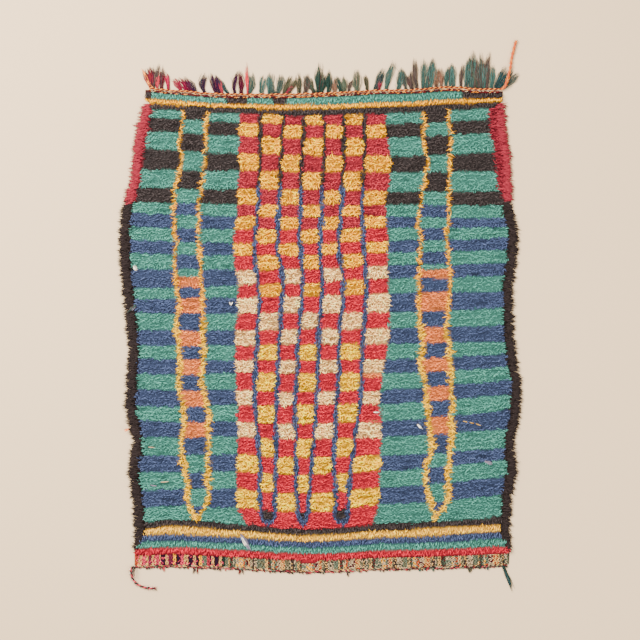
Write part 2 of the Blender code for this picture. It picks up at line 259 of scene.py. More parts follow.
# Locks of the fringe at the upper end
FRINGE = (
    # root x, root y, tip x, tip y, width, bow to its right, wool
    (-508, 693, -531, 750, 8, 0, "magenta"),
    (-506, 696, -522, 756, 8, 0, "plum"),
    (-511, 690, -538, 758, 0, 7, "gold"),
    (-498, 692, -530, 726, 0, -4, "gold"),
    (-504, 699, -512, 759, 7, 0, "red_brown"),
    (-504, 705, -504, 765, 5, 2, "plum"),
    (-501, 708, -483, 771, 5, 3, "brown_grey"),
    (-489, 699, -489, 738, 5, 0, "crimson"),
    (-477, 696, -474, 762, 8, 0, "plum"),
    (-456, 693, -464, 741, 9, 3, "pink"),
    (-417, 690, -444, 726, 10, 0, "pink"),
    (-399, 690, -429, 726, 9, 0, "magenta"),
    (-387, 690, -411, 729, 10, 0, "plum"),
    (-372, 678, -405, 720, 12, 5, "purple"),
    (-346, 684, -344, 741, 12, -22, "purple"),
    (-312, 687, -326, 741, 13, -6, "purple"),
    (-300, 687, -315, 735, 12, 0, "purple"),
    (-276, 690, -312, 729, 8, -3, "deep_teal"),
    (-294, 687, -300, 723, 5, -3, "crimson"),
    (-255, 684, -249, 744, 9, -14, "purple"),
    (-237, 684, -242, 747, 12, 5, "plum"),
    (-218, 696, -221, 768, 3, 0, "red"),
    (-212, 684, -204, 744, 11, 6, "grey_teal"),
    (-176, 681, -168, 735, 14, -6, "teal"),
    (-153, 681, -147, 747, 11, -3, "teal"),
    (-130, 681, -117, 738, 12, 10, "grey_teal"),
    (-138, 687, -156, 732, 8, -4, "grey_teal"),
    (-111, 681, -84, 732, 9, -2, "brown_green"),
    (-102, 690, -78, 705, 4, 0, "pink"),
    (-96, 684, -69, 726, 8, 3, "brown_green"),
    (-63, 684, -63, 741, 10, 0, "brown_green"),
    (-45, 684, -36, 741, 10, 4, "brown_grey"),
    (-15, 690, -51, 735, 10, -3, "deep_green"),
    (-4, 687, -4, 771, 16, 0, "deep_green"),
    (3, 687, 18, 738, 12, 3, "deep_green"),
    (-21, 693, -33, 729, 8, 0, "brown_green"),
    (24, 672, 28, 750, 13, 0, "deep_green"),
    (44, 672, 45, 729, 8, 0, "rust_grey"),
    (63, 678, 48, 732, 8, 4, "deep_green"),
    (72, 681, 70, 732, 12, 0, "grey_green"),
    (86, 681, 99, 723, 5, -6, "brown_grey"),
    (111, 678, 111, 753, 13, 0, "grey_green"),
    (117, 681, 96, 717, 5, -5, "grey_green"),
    (141, 687, 134, 738, 7, 4, "brown_green"),
    (165, 696, 195, 756, 12, -3, "deep_teal"),
    (171, 693, 186, 738, 9, 0, "brown_grey"),
    (177, 699, 180, 720, 4, 0, "pink"),
    (198, 696, 222, 777, 14, -3, "teal"),
    (234, 693, 246, 759, 14, 4, "teal"),
    (258, 693, 249, 753, 8, -4, "brown_teal"),
    (273, 696, 261, 735, 7, 0, "brown_grey"),
    (276, 693, 270, 747, 8, 0, "brown_grey"),
    (291, 693, 285, 786, 11, -5, "brown_grey"),
    (309, 696, 314, 786, 10, 0, "teal"),
    (318, 702, 342, 786, 6, -5, "teal"),
    (330, 693, 339, 786, 20, 0, "teal"),
    (348, 693, 354, 759, 9, 0, "rust_grey"),
    (363, 693, 363, 756, 8, 0, "rust_grey"),
    (378, 696, 387, 762, 8, -3, "teal"),
    (390, 696, 396, 768, 8, 0, "teal"),
    (402, 699, 399, 771, 8, 2, "teal"),
    (423, 699, 429, 768, 8, -3, "brown_grey"),
    (438, 696, 447, 783, 11, 0, "teal"),
    (453, 699, 459, 813, 15, 0, "teal"),
    (462, 699, 471, 792, 11, 0, "brown_teal"),
    (477, 696, 468, 765, 8, 4, "brown_grey"),
    (483, 699, 483, 807, 9, -4, "brown_teal"),
    (492, 696, 498, 783, 10, 0, "teal"),
    (501, 699, 508, 807, 9, 0, "brown_grey"),
    (513, 699, 519, 768, 10, 4, "teal"),
    (474, 735, 450, 789, 5, -4, "brown_green"),
    (528, 699, 561, 759, 13, -2, "deep_teal"),
    (537, 702, 582, 753, 11, 0, "deep_teal"),
    (546, 711, 600, 738, 12, 3, "brown_teal"),
)

# The flat-woven end's blocks of colour from the left, and then its mixed ones
KILIM_BLOCKS = (
    # width, wool
    (10, "rust"),
    (12, "straw"),
    (10, "kilim_pink"),
    (9, "straw"),
    (9, "kilim_plum"),
    (12, "straw"),
    (11, "kilim_pink"),
    (7, "straw"),
    (12, "purple"),
    (9, "straw"),
    (12, "kilim_plum"),
    (10, "yellow"),
    (15, "purple"),
    (9, "kilim_pink"),
    (12, "straw"),
    (14, "purple"),
    (12, "straw"),
    (8, "purple"),
    (10, "yellow"),
    (12, "moss"),
    (8, "crimson"),
    (8, "purple"),
    (9, "straw"),
    (14, "purple"),
    (8, "straw"),
    (9, "deep_green"),
)
KILIM_MIXES = (
    # wool, wool among it, share of that
    ("straw", "rust", 0.25),
    ("olive", "sand", 0.3),
    ("brown_grey", "straw", 0.3),
    ("sand", "grey_green", 0.4),
    ("moss", "olive", 0.3),
    ("straw", "olive", 0.3),
    ("grey_green", "red_brown", 0.3),
    ("moss", "sand", 0.35),
    ("sand", "yellow", 0.4),
    ("moss", "rust", 0.35),
    ("sand", "plum", 0.25),
)
KILIM_LEFT, KILIM_RIGHT = -556 * MM, 568 * MM

# The rows of twining along the foot
FOOT_TWINING = (
    # drop below the cloth's end, height, wools
    (0.6, 4.4, ("straw", "brown", "sand", "red_brown", "brown")),
    (3.4, 3.6, ("brown", "crimson", "straw", "moss", "brown")),
    (5.8, 2.6, ("crimson", "brown_grey", "plum", "brown_grey")),
)

# Tufts of warp ends below the twined edging
TUFTS = (
    # root x, lean in degrees, length, width, wool
    (-520, 5, 9, 5, "brown_grey"),
    (-471, -10, 18, 7, "crimson"),
    (-482, -25, 12, 6, "brown_grey"),
    (-420, 10, 9, 5, "brown_grey"),
    (-376, 12, 24, 8, "brown_grey"),
    (-368, 2, 22, 7, "red_brown"),
    (-380, -30, 16, 6, "brown_grey"),
    (-298, 20, 12, 6, "brown_grey"),
    (-240, 10, 20, 7, "red_brown"),
    (-236, -25, 18, 6, "brown_grey"),
    (-150, 6, 9, 5, "brown_green"),
    (-40, -5, 10, 5, "brown_grey"),
    (82, -12, 21, 6, "brown_grey"),
    (120, 15, 9, 5, "brown_green"),
    (190, -6, 10, 5, "brown_grey"),
    (300, 5, 11, 7, "teal"),
    (340, -6, 12, 7, "teal"),
    (446, -14, 19, 7, "brown_green"),
    (456, 8, 16, 7, "brown_green"),
    (505, 4, 13, 6, "teal"),
    (549, -22, 84, 13, "deep_teal"),
    (552, -24, 76, 11, "deep_green"),
)

# Short fuzz among the tufts
FOOT_FUZZ = 210
FOOT_FUZZ_WOOLS = ("brown_grey", "red_brown", "deep_green", "crimson", "brown")

# The loose cord ends, by the points that their middle lines pass
TAIL_TOP = (
    # x, y, height
    (542.3, 690, 5.0),
    (547, 690.4, 5.4),
    (552, 694.5, 8.4),
    (558, 705, 9.3),
    (564, 725, 9.2),
    (570, 748, 7.6),
    (576, 785, 4.4),
    (589, 836, 4.4),
)
TAIL_BOTTOM = (
    # x, y, height
    (-558.8, -744.0, 3.6),
    (-564.5, -747.5, 3.6),
    (-567.5, -755, 3.6),
    (-567, -766, 3.6),
    (-563, -779, 3.6),
    (-555, -791, 3.6),
    (-541, -801, 3.6),
    (-519, -807.5, 3.6),
    (-495, -809.5, 3.6),
)

# Wools, as they look in even light
WOOLS = {
    # name: red, green, blue
    "green": (79, 143, 125),
    "blue": (70, 81, 111),
    "black": (63, 55, 53),
    "crimson": (174, 50, 61),
    "red": (199, 44, 58),
    "yellow": (255, 172, 3),
    "cream": (255, 198, 124),
    "orange": (231, 126, 68),
    "brown": (40, 32, 30),
    "white": (250, 236, 214),
    "pink": (142, 14, 50),
    "magenta": (104, 10, 42),
    "plum": (70, 12, 32),
    "purple": (42, 15, 38),
    "red_brown": (96, 24, 26),
    "rust": (186, 78, 40),
    "rust_grey": (104, 72, 54),
    "brown_grey": (66, 52, 46),
    "brown_green": (58, 56, 40),
    "grey_green": (66, 72, 56),
    "brown_teal": (60, 68, 60),
    "grey_teal": (54, 70, 62),
    "teal": (54, 80, 72),
    "deep_teal": (32, 54, 54),
    "deep_green": (32, 50, 42),
    "side_red": (131, 38, 48),
    "pale_yellow": (255, 190, 58),
    "lemon": (255, 190, 8),
    "gold": (226, 134, 48),
    "kilim_pink": (206, 62, 84),
    "kilim_plum": (112, 34, 58),
    "amber": (196, 98, 36),
    "moss": (102, 110, 88),
    "straw": (212, 160, 90),
    "sand": (186, 156, 118),
    "olive": (110, 102, 74),
    "mauve_grey": (134, 122, 136),
}
WOOL_NAMES = list(WOOLS)

# Strands of the pile: heights are to their bellies, in millimetres where MM isn't named
ROW_PITCH = 14
STRAND_PITCH = 1.5 * MM
PILE_SEED = 11
PILE_PIECES = 5
PILE_HEIGHT = 7.2
FURROW_DEPTH = 2.6
FURROW_SHADE = 0.65
ROOT_DROP = 4.2 * MM
ROOT_LOWEST = 1.5 * MM
# Painted shade at a strand's root and painted highlight at its tip: its colour at the root, belly and
# tip, as a share of its wool's
STRAND_PAINTED_LIGHT = np.array(((0.66, 0.58, 0.54), (1, 1, 1), (1.1, 1.1, 1.1)))


def smooth(keys, values, at):
    """Read a smooth curve through given points, which is level past its ends."""
    at = np.clip(at, keys[0], keys[-1])
    slopes = np.gradient(values, keys)
    low = np.clip(np.searchsorted(keys, at, side="right") - 1, 0, len(keys) - 2)
    span = keys[low + 1] - keys[low]
    t = (at - keys[low]) / span
    return (
        (2 * t ** 3 - 3 * t ** 2 + 1) * values[low]
        + (t ** 3 - 2 * t ** 2 + t) * span * slopes[low]
        + (3 * t ** 2 - 2 * t ** 3) * values[low + 1]
        + (t ** 3 - t ** 2) * span * slopes[low + 1]
    )


def linear(colour):
    """A colour as it looks, from 0 to 255, as light."""
    colour = np.asarray(colour, float) / 255
    return np.where(colour < 0.04045, colour / 12.92, ((colour + 0.055) / 1.055) ** 2.4)


WOOL_LIGHT = np.array([linear(WOOLS[name]) for name in WOOL_NAMES])


def wool(name):
    """The number of a wool in the list."""
    return WOOL_NAMES.index(name)


def ripple(x, y, wavelength, seed):
    """Smooth unevenness from -1 to 1 over the cloth, from a few crossing waves."""
    rng = np.random.default_rng(seed)
    total = np.zeros(np.shape(x))
    for _ in range(7):
        turn, phase = rng.uniform(0, 2 * math.pi, 2)
        size = wavelength * rng.uniform(0.7, 1.5)
        total += np.sin(2 * math.pi * (x * math.cos(turn) + y * math.sin(turn)) / size + phase)
    return total / 3.2


# The layout of the cloth

def cord_y(x):
    return smooth(CORD_X, CORD_Y, x)


def top_edge(x):
    """The cloth's upper end, just below the twined cord."""
    return cord_y(x) - CORD_CLEAR


def foot_edge(x):
    """The cloth's lower end, which sinks in the middle of the rug."""
    sag = FOOT_SAG * (1 - (x / SIDE_LEFT.min()) ** 2)
    return FOOT - sag + FOOT_RISE * smooth(RISE_X, RISE_Y, x)


def side_reach(y):
    """How far the outline stands out past the knotted cloth."""
    low = FOOT_REACH + (SIDE_REACH - FOOT_REACH) * np.clip((y - SIDE_FOOT) / REACH_FADE, 0, 1)
    return np.where(y > SIDE_TOP, TOP_REACH, low)


def body_left(y):
    return smooth(SIDE_Y, SIDE_LEFT, y) + side_reach(y)


def body_right(y):
    return smooth(SIDE_Y, SIDE_RIGHT, y) - side_reach(y)


def band_border(number, x):
    """Upper border of a band, counted from the top: a parabola through three places."""
    a, b, c = BAND_X
    left, middle, right = BORDERS[number]
    rise = smooth(RISE_X, RISE_Y, x) * min(max((number - RISE_FROM) / RISE_OVER, 0), 1)
    for rows, profile in LIFTS:
        places, lifts = np.array(profile, float).T * MM
        rise = rise + smooth(places, lifts, x) * np.interp(number, rows, (0, 1, 1, 0))
    rise = rise - PANEL_DROP[number] * np.interp(x, DROP_X, (0, 1, 1, 0))
    return rise + (
        left * (x - b) * (x - c) / ((a - b) * (a - c))
        + middle * (x - a) * (x - c) / ((b - a) * (b - c))
        + right * (x - a) * (x - b) / ((c - a) * (c - b))
    )


def row_y(row, x):
    """Row -1 is the upper end, 0 the first band's border, BAND_COUNT + 1 the foot."""
    if row < 0:
        above, below = top_edge(x), band_border(0, x)
        return above + (below - above) * (row + 1)
    if row >= BAND_COUNT:
        above, below = band_border(BAND_COUNT, x), foot_edge(x)
        return above + (below - above) * (row - BAND_COUNT)
    number = int(row)
    above, below = band_border(number, x), band_border(number + 1, x)
    return above + (below - above) * (row - number)


def row_at(x, y):
    """The row number at each place, the inverse of row_y."""
    edges = [top_edge(x)]
    edges += [band_border(number, x) for number in range(BAND_COUNT + 1)]
    edges.append(foot_edge(x))
    edges = np.array(edges)
    low = np.clip((y < edges).sum(axis=0) - 1, 0, BAND_COUNT + 1)
    above = np.take_along_axis(edges, low[None], 0)[0]
    below = np.take_along_axis(edges, low[None] + 1, 0)[0]
    return np.clip(low - 1 + (above - y) / (above - below), -1, BAND_COUNT + 0.999)


# How the strands lie, by kind
LAY_FIELD, LAY_PANEL, LAY_TUFT, LAY_SPIKES, LAY_LINE, LAY_DOWN, LAY_OUT = range(7)
LAYS = np.array((
    # spread of turn in degrees, length, spread of length, half thickness, rise
    (22, 12, 3, 1.15, 0.0),
    (26, 12, 3, 1.2, 0.0),
    (38, 14, 4, 1.2, 2.1),
    (38, 17, 6, 1.25, 1.6),
    (18, 12, 3, 1.3, 0.9),
    (24, 14, 3.5, 1.25, 0.2),
    (28, 22, 6, 1.4, 0.0),
))

# The panel's yellow turns more lemon below this height
LEMON_BELOW = 0 * MM
# Dark or red knots just inside the side locks: how wide they are and where they fade
LEFT_EDGE = 10 * MM
RIGHT_EDGE = 9 * MM
EDGE_END = -662 * MM
EDGE_FADE = 30 * MM
# The right side is red above a height, and its red knots widen upwards
RED_EDGE_FROM = 350 * MM
RED_EDGE_TIMES = 3.0
RED_EDGE_END = 333 * MM
RED_EDGE_FADE = 95 * MM


def pattern(x, y):
    """The wool at each place on the cloth, and how its strands lie: see LAYS."""
    row = row_at(x, y)
    band = np.clip(np.floor(row).astype(int), 0, BAND_COUNT - 1)
    lay = np.zeros(x.shape, int)
    field, cell, odd, even = (
        np.array([wool(entry[part]) for entry in BANDS])[band] for part in (4, 5, 6, 7)
    )
    colour = field.copy()

    rails = np.array([smooth(RAIL_Y, line, y) for line in RAIL_X])
    share = row - np.floor(row)
    cell = np.where((band == 11) & (share < 0.42), wool("green"), cell)
    for left in (0, 2):
        inside = (x > rails[left]) & (x < rails[left + 1]) & (y > RAIL_FOOT)
        colour = np.where(inside, cell, colour)
    knotty = RAIL_HALF * (0.9 + 0.5 * ripple(x, y, 15 * MM, 12))
    knotty *= np.interp(y, RAIL_CHANGE, (1.28, 0.74))
    near = np.abs(x - rails).min(axis=0) < knotty
    near &= y > RAIL_FOOT - 8 * MM
    colour = np.where(near, wool("yellow"), colour)
    lay = np.where(near, LAY_SPIKES, lay)

    lines = np.array([smooth(PANEL_Y, line, y) for line in PANEL_X])
    column = (x > lines).sum(axis=0)
    panel = (column > 0) & (column < 8)
    check = np.where(column % 2 == 1, odd, even)
    tip = (band == BAND_COUNT - 1) & (column % 2 == 0)
    check = np.where(tip, np.where(share < 0.56, wool("black"), wool("blue")), check)
    strip = (column == 7) & (band == 18) & (share < 0.25)
    check = np.where(strip, wool("orange"), check)
    colour = np.where(panel, check, colour)
    bright = (colour == wool("yellow")) | (colour == wool("cream"))
    lay = np.where(panel, np.where(bright, LAY_TUFT, LAY_PANEL), lay)
    half = np.where(y > LINE_BLUE_FROM, 0.8 * LINE_HALF, LINE_HALF)
    line_near = (np.abs(x - lines[1:7]).min(axis=0) < half) & panel
    line_near &= (band < BAND_COUNT - 1) | (share < 0.8)
    line_wool = np.where(y > LINE_BLUE_FROM, wool("black"), wool("blue"))
    colour = np.where(line_near, line_wool, colour)
    lay = np.where(line_near, LAY_LINE, lay)

    low_yellow = (colour == wool("yellow")) & (y < LEMON_BELOW)
    colour = np.where(low_yellow, wool("lemon"), colour)
    top = row < 0
    for end, name, _ in reversed(TOP_ROWS):
        colour = np.where(top & (row + 1 < end), wool(name), colour)
    dark = np.zeros(x.shape, bool)
    for start, stop in DARK_BLOCKS:
        dark |= (x > start * MM) & (x < stop * MM)
    colour = np.where(top & dark & (colour == wool("green")), wool("black"), colour)
    foot = row >= BAND_COUNT
    colour = np.where(foot, wool("brown"), colour)
    for end, name, _ in reversed(FOOT_ROWS):
        colour = np.where(foot & (row - BAND_COUNT < end), wool(name), colour)
    lay = np.where(top | foot, LAY_DOWN, lay)

    left, right = body_left(y), body_right(y)
    narrowing = np.clip((y - EDGE_END) / EDGE_FADE, 0, 1)
    red_edge = RED_EDGE_TIMES * np.clip((y - RED_EDGE_END) / RED_EDGE_FADE, 0, 1)
    right_edge = RIGHT_EDGE * np.where(y > RED_EDGE_FROM, red_edge, narrowing)
    edge = (x < left + LEFT_EDGE * narrowing) | (x > right - right_edge)
    edge &= (y > SIDE_FOOT) & ~top
    edge_wool = np.where(y > RED_EDGE_FROM, wool("side_red"), wool("brown"))
    colour = np.where(edge, edge_wool, colour)
    lay = np.where(edge, LAY_OUT, lay)
    return colour, lay




# Meshes of many strands

def strand_mesh(name, lines, radii, colours, sides=3, turns=None):
    """Many closed tapered strands as one mesh, each with its own cell of the UV map.

    lines holds each strand's points, of which the last is its tip. radii holds a
    radius for each point but the tip, and colours a colour for each point.
    """
    count, points, _ = lines.shape
    rings = points - 1
    along = np.gradient(lines, axis=1)[:, :rings]
    across = np.cross(along, (0.0, 0.0, 1.0))
    across += (1e-9, 0, 0)
    across /= np.linalg.norm(across, axis=2, keepdims=True)
    up = np.cross(across, along)
    up /= np.linalg.norm(up, axis=2, keepdims=True)
    if turns is None:
        turns = np.zeros(count)
    angle = turns[:, None, None] + 2 * math.pi * np.arange(sides) / sides
    reach = np.broadcast_to(radii[:, :, None], (count, rings, sides))[..., None]
    ring = lines[:, :rings, None] + reach * (
        np.cos(angle)[..., None] * across[:, :, None] + np.sin(angle)[..., None] * up[:, :, None]
    )
    corners = rings * sides + 1
    verts = np.concatenate((ring.reshape(count, -1, 3), lines[:, -1:]), axis=1)
    ring_colours = np.repeat(colours[:, :rings], sides, axis=1)
    tints = np.concatenate((ring_colours, colours[:, -1:]), axis=1)

    loops, uvs, starts = [], [], []
    for step in range(rings):
        low = 0.14 + 0.86 * step / rings
        high = 0.14 + 0.86 * (step + 1) / rings
        for side in range(sides):
            after = (side + 1) % sides
            left, right = side / sides, (side + 1) / sides
            starts.append(len(loops))
            if step < rings - 1:
                here, there = step * sides, (step + 1) * sides
                loops += [here + side, there + side, there + after, here + after]
                uvs += [(left, low), (left, high), (right, high), (right, low)]
            else:
                here = step * sides
                loops += [here + side, corners - 1, here + after]
                uvs += [(left, low), ((left + right) / 2, high), (right, low)]
    starts.append(len(loops))
    loops += list(range(sides))
    for side in range(sides):
        turn = 2 * math.pi * side / sides
        uvs.append((0.5 + 0.45 * math.cos(turn), 0.06 + 0.05 * math.sin(turn)))
    loops, uvs, starts = np.array(loops), np.array(uvs), np.array(starts)

    number = np.arange(count)
    cells = math.ceil(math.sqrt(count))
    corner = np.stack((number % cells, number // cells), axis=1)
    uv = (corner[:, None] + 0.09 + 0.82 * uvs[None]) / cells
    vertex = loops[None] + (number * corners)[:, None]
    start = starts[None] + (number * len(loops))[:, None]
    mesh = raw_mesh(name, verts, vertex, start)
    add_looks(mesh, uv, tints)
    return mesh


def raw_mesh(name, verts, vertex, start):
    """A smooth mesh from plain arrays of points, corners and first corners of faces."""
    mesh = bpy.data.meshes.new(name)
    mesh.vertices.add(verts.size // 3)
    mesh.vertices.foreach_set("co", verts.astype(np.float32).ravel())
    mesh.loops.add(vertex.size)
    mesh.loops.foreach_set("vertex_index", vertex.astype(np.int32).ravel())
    mesh.polygons.add(start.size)
    mesh.polygons.foreach_set("loop_start", start.astype(np.int32).ravel())
    mesh.polygons.foreach_set("use_smooth", np.ones(start.size, bool))
    mesh.update(calc_edges=True)
    return mesh


def add_looks(mesh, uv, tints):
    """Give a mesh its UV map and its colours, one for each point."""
    layer = mesh.uv_layers.new(name="OFBake")
    layer.data.foreach_set("uv", uv.astype(np.float32).ravel())
    shades = np.ones((tints.size // 3, 4), np.float32)
    shades[:, :3] = tints.reshape(-1, 3)
    attribute = mesh.color_attributes.new("Tint", "FLOAT_COLOR", "POINT")
    attribute.data.foreach_set("color", shades.ravel())


def wool_material(name, roughness):
    """Wool that takes its colour from the strands, mottled by its fine fibres."""
    material = bpy.data.materials.new(name)
    material.use_nodes = True
    nodes, links = material.node_tree.nodes, material.node_tree.links
    shader = nodes["Principled BSDF"]
    shader.inputs["Roughness"].default_value = roughness
    shader.inputs["Specular IOR Level"].default_value = 0.05
    tint = nodes.new("ShaderNodeVertexColor")
    tint.layer_name = "Tint"
    place = nodes.new("ShaderNodeTexCoord")
    fibres = nodes.new("ShaderNodeTexNoise")
    fibres.inputs["Scale"].default_value = 420
    fibres.inputs["Detail"].default_value = 2
    spread = nodes.new("ShaderNodeMapRange")
    spread.inputs["From Min"].default_value = 0.3
    spread.inputs["From Max"].default_value = 0.7
    spread.inputs["To Min"].default_value = 0.78
    spread.inputs["To Max"].default_value = 1.16
    shade = nodes.new("ShaderNodeVectorMath")
    shade.operation = "SCALE"
    links.new(place.outputs["Object"], fibres.inputs["Vector"])
    links.new(fibres.outputs["Fac"], spread.inputs["Value"])
    links.new(tint.outputs["Color"], shade.inputs["Vector"])
    links.new(spread.outputs["Result"], shade.inputs["Scale"])
    links.new(shade.outputs["Vector"], shader.inputs["Base Color"])
    return material


def add_piece(mesh, material, slot, *stands_for):
    """Put a mesh in the scene as a piece of the rug."""
    piece = bpy.data.objects.new(mesh.name, mesh)
    bpy.context.scene.collection.objects.link(piece)
    mesh.materials.append(material)
    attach(piece, "root")
    if stands_for:
        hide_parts(*stands_for)
    return piece


# The camera, straight above as in the photo

CAMERA_HEIGHT = 5.0
FRAME_WIDTH = 1.92
camera_data = bpy.data.cameras.new("camera")
camera_data.sensor_width = 36
camera_data.lens = 36 * (CAMERA_HEIGHT - 10 * MM) / FRAME_WIDTH
camera_data.clip_end = 50
camera = bpy.data.objects.new("camera", camera_data)
bpy.context.scene.collection.objects.link(camera)
camera.location = (0, -3 * MM, CAMERA_HEIGHT)
bpy.context.scene.camera = camera


# The pile

def row_table():
    """Every knot row: its place and its height as a share of its band."""
    rows = []
    start = 0.0
    for end, _, knots in TOP_ROWS:
        for number in range(knots):
            rows.append((-1 + start + (end - start) * (number + 0.5) / knots, (end - start) / knots))
        start = end
    for band in range(BAND_COUNT):
        knots = max(2, round(BAND_HEIGHTS[band, 1] / ROW_PITCH))
        rows += [(band + (number + 0.5) / knots, 1 / knots) for number in range(knots)]
    start = 0.0
    for end, _, knots in FOOT_ROWS:
        rows.append((BAND_COUNT + (start + end) / 2, end - start))
        start = end
    return rows


def tuft_swell(x, row, lines):
    """How far the locks of a bright check stand out past it, which rounds its corners."""
    column = np.clip((x > lines).sum(axis=0), 1, 7)
    left = np.take_along_axis(lines, column[None] - 1, 0)[0]
    right = np.take_along_axis(lines, column[None], 0)[0]
    across = np.clip((2 * x - left - right) / (right - left), -1, 1)
    up = 1 - 2 * (row % 1)
    height = BAND_HEIGHTS[np.clip(row.astype(int), 0, BAND_COUNT - 1), 1] * MM
    gain_x = 1.05 * (0.55 + 0.45 * np.sqrt(1 - up ** 2 / 2)) - 1
    gain_y = 0.97 * (0.55 + 0.45 * np.sqrt(1 - across ** 2 / 2)) - 1
    return across * (right - left) / 2 * gain_x, up * height / 2 * gain_y


def knot_places(rng):
    """Every strand's place, how near it is to its row's crest, and its row's height.

    The height is a metre in the wide rows, where it limits nothing.
    """
    xs, ys, crests, rooms = [], [], [], []
    for row, height in row_table():
        x = np.arange(SIDE_LEFT.min(), SIDE_RIGHT.max(), STRAND_PITCH)
        x = x + rng.uniform(-0.5, 0.5, x.size) * STRAND_PITCH
        narrow = row < 0 or row > BAND_COUNT
        offset = rng.uniform(-0.45, 0.45, x.size) * (0.75 if narrow else 1)
        above, below = row_y(row - height / 2, x), row_y(row + height / 2, x)
        y = (above + below) / 2 - offset * (above - below)
        wavelength, depth = (15 * MM, 1.7 * MM) if narrow else (38 * MM, 1.8 * MM)
        y = y + depth * ripple(x, y, wavelength, 9)
        inside = (x > body_left(y)) & (x < body_right(y))
        inside &= ripple(x, y, 13 * MM, 10) > -0.95
        xs.append(x[inside])
        ys.append(y[inside])
        crest = 1 - (2 * offset[inside]) ** 2
        crests.append(0.65 + 0.3 * crest if narrow else crest)
        rooms.append((above - below)[inside] if narrow else np.full(crest.size, 1.0))
    return [np.concatenate(part) for part in (xs, ys, crests, rooms)]


def make_pile(material):
    """The pile in five pieces from left to right."""
    rng = np.random.default_rng(PILE_SEED)
    x, y, crest, room = knot_places(rng)
    wander = 4 * MM * ripple(x, y, 34 * MM, 3), 2.5 * MM * ripple(x, y, 30 * MM, 4)
    colour, lay = pattern(x + wander[0], y + wander[1])
    count = x.size
    spread, length, length_spread, thick, rise = LAYS[lay].T
    # Which way each strand points
    sway = 20 * ripple(x, y, 42 * MM, 7) + 9 * ripple(x, y, 17 * MM, 8)
    turn = np.radians(sway + rng.normal(0, 1, count) * spread)
    flip = rng.random(count) < 0.5
    turn = np.where(flip, math.pi + turn, turn)
    turn = np.where(lay == LAY_LINE, turn - math.pi / 2, turn)
    down = rng.normal(0, 1, count) * np.radians(spread) - math.pi / 2
    turn = np.where(lay == LAY_DOWN, down, turn)
    out = rng.normal(0, 1, count) * np.radians(spread) - np.where(x < 0, math.pi, 0)
    turn = np.where(lay == LAY_OUT, out, turn)
    # How long it is, and whether it hangs over the band below
    length = np.clip(length + rng.normal(0, 1, count) * length_spread, 7, 34) * MM
    length = np.minimum(length, 0.7 * room + rng.uniform(0, 9, count) * MM)
    row = row_at(x + wander[0], y + wander[1])
    often = np.where(y > 60 * MM, 0.55, 0.2)
    hang = (rng.random(count) < often) & (row % 1 > 0.66) & (lay != LAY_DOWN) & (lay != LAY_OUT)
    hang &= (lay != LAY_LINE) & (lay != LAY_SPIKES)
    turn = np.where(hang, rng.normal(0, 0.55, count) - math.pi / 2, turn)
    # Strands of the panel stay short near its lines, and bright checks swell
    lines_at = np.array([smooth(PANEL_Y, line, y) for line in PANEL_X])
    spare_room = np.abs(x - lines_at[1:7]).min(axis=0) - LINE_HALF
    held = (lay == LAY_PANEL) | (lay == LAY_TUFT)
    spare = np.where(lay == LAY_TUFT, 7.0, 1.5) * MM
    short = np.clip(2 * (spare_room + spare), 7 * MM, None)
    length = np.where(held, np.minimum(length, short), length)
    swell_x, swell_y = tuft_swell(x, row, lines_at)
    swell = np.where(lay == LAY_TUFT, np.where(colour == wool("cream"), 0.4, 1), 0)
    x, y = x + swell * swell_x, y + swell * swell_y
    thick = thick * rng.uniform(0.8, 1.25, count) * MM
    # How high it lies
    layer = rng.random(count)
    lump = ripple(x, y, 95 * MM, 5)
    furrow = np.clip((ripple(0.3 * x, 1.9 * y, 30 * MM, 14) - 0.65) / 0.35, 0, 1)
    furrow = furrow * (lay != LAY_DOWN) * (lay != LAY_OUT)
    belly = PILE_HEIGHT + 2.2 * crest + 4.0 * layer + rise + 0.8 * hang + 1.2 * lump
    belly = (belly - FURROW_DEPTH * furrow) * MM
    ahead = np.stack((np.cos(turn), np.sin(turn)), axis=1)
    beside = np.stack((-ahead[:, 1], ahead[:, 0]), axis=1)
    bend = rng.normal(0, 0.10, count) * length
    steps = np.array((0, 0.5, 1.0))
    lines = np.empty((count, steps.size, 3))
    heights = (
        np.maximum(belly - ROOT_DROP, ROOT_LOWEST),
        belly,
        belly - rng.uniform(-1.0, 3.5, count) * MM,
    )
    for number, step in enumerate(steps):
        reach = (2 * step - 1) * length / 2
        curve = bend * 4 * step * (1 - step)
        lines[:, number, 0] = x + ahead[:, 0] * reach + beside[:, 0] * curve
        lines[:, number, 1] = y + ahead[:, 1] * reach + beside[:, 1] * curve
        lines[:, number, 2] = heights[number]
    radii = thick[:, None] * np.array((0.8, 1.1))
    # How light its wool is: its tone varies at random and over the cloth, with painted shade on the
    # lower strands, away from its row's crest and in the furrows
    tone = rng.normal(1, 0.16, count).clip(0.5, 1.5) * (0.58 + 0.38 * layer + 0.2 * crest)
    tone = tone * (1 + 0.05 * ripple(x, y, 60 * MM, 6)) * (1 - FURROW_SHADE * furrow)
    # Bright tufts get deeper painted shade on their lower strands and a painted highlight on their
    # upper ones
    tone = np.where(lay == LAY_TUFT, tone * (0.8 + 0.54 * layer), tone)
    # Each strand gets painted shade at its root and a painted highlight at its tip
    tints = np.minimum(WOOL_LIGHT[colour][:, None] * tone[:, None, None] * STRAND_PAINTED_LIGHT, 1)
    turns = rng.uniform(0, 2 * math.pi, count)
    order = np.argsort(x, kind="stable")
    parts = np.array_split(order, PILE_PIECES)
    pieces = []
    for number, part in enumerate(parts):
        name = f"pile_{number + 1}"
        mesh = strand_mesh(name, lines[part], radii[part], tints[part], turns=turns[part])
        pieces.append(add_piece(mesh, material, "pile"))
    return pieces


# The ground under the pile

